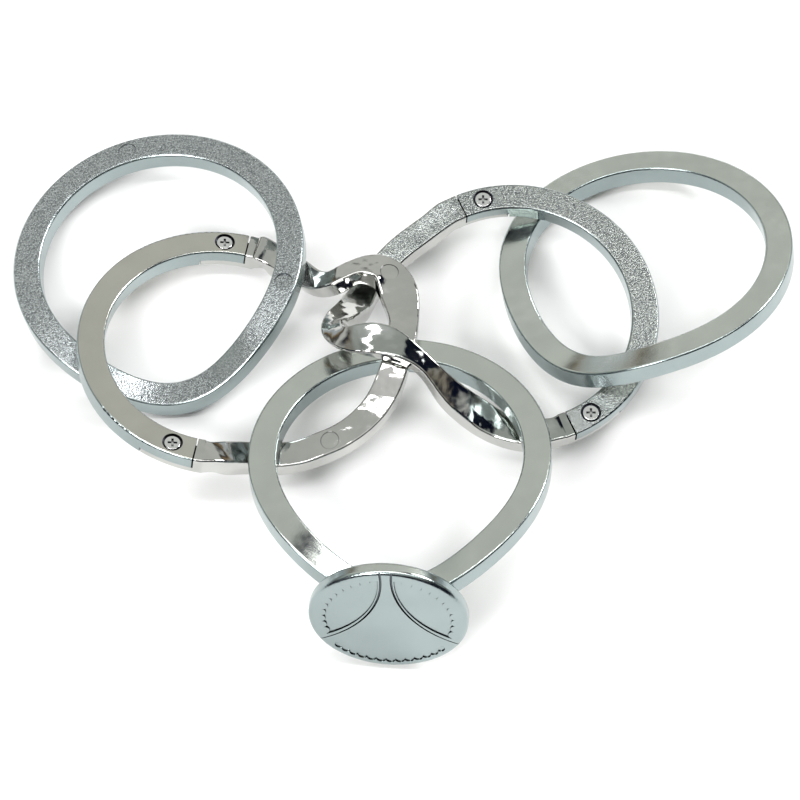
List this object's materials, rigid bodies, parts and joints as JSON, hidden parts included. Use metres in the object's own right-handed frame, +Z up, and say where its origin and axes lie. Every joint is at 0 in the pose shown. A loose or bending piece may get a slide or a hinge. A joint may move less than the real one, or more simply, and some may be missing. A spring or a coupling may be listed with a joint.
{
  "type": "puzzle ring",
  "caption": "Cast-metal puzzle ring opened out: linked waved bands, a knotted pair closed by lapped and pinned joints, and a signet band with a medallion.",
  "frame": {"origin": "middle of the bottom of the bounding box, on the table the bands lie on", "axes": "+Z up from the table, +X along the row of bands from the left outer band to the right one, -Y towards the medallion"},
  "size_m": [0.1002, 0.0728, 0.0184],
  "materials": {
    "cast_grained": "bright nickel plate over a rough pebbled casting",
    "plated_satin": "smooth satin nickel plate",
    "plated_mirror": "polished nickel plate",
    "fastener_bright": "bright plated fastener"
  },
  "bodies": {
    "signet": {"signet_band": "plated_satin"},
    "knot_left": {"knot_left_arc": "plated_satin", "knot_left_arm": "plated_mirror", "knot_left_pin_upper": "fastener_bright", "knot_left_pin_lower": "fastener_bright"},
    "knot_right": {"knot_right_arc": "cast_grained", "knot_right_arm": "plated_mirror", "knot_right_pin_upper": "fastener_bright", "knot_right_pin_lower": "fastener_bright"},
    "outer_left": {"outer_band_left": "cast_grained"},
    "outer_right": {"outer_band_right": "plated_satin"}
  },
  "joints": [
    {"name": "outer_left_swing", "type": "hinge", "parent": "knot_left", "child": "outer_left", "pos_m": [-0.03683, 0.00552, 0.00775], "axis": [0.8017, -0.5958, 0.047], "range_deg": [0, 75]},
    {"name": "outer_right_swing", "type": "hinge", "parent": "knot_right", "child": "outer_right", "pos_m": [0.01735, 0.02109, 0.0069], "axis": [-0.259, -0.8901, 0.375], "range_deg": [0, 70]},
    {"name": "signet_swing", "type": "hinge", "parent": "knot_right", "child": "signet", "pos_m": [0.01026, 0.005, 0.00551], "axis": [-0.9713, -0.2301, 0.06], "range_deg": [0, 70]},
    {"name": "knot_left_tilt", "type": "hinge", "parent": "knot_right", "child": "knot_left", "pos_m": [0.00304, 0.0048, 0.00412], "axis": [0.8147, 0.3329, -0.4748], "range_deg": [0, 15]}
  ]
}
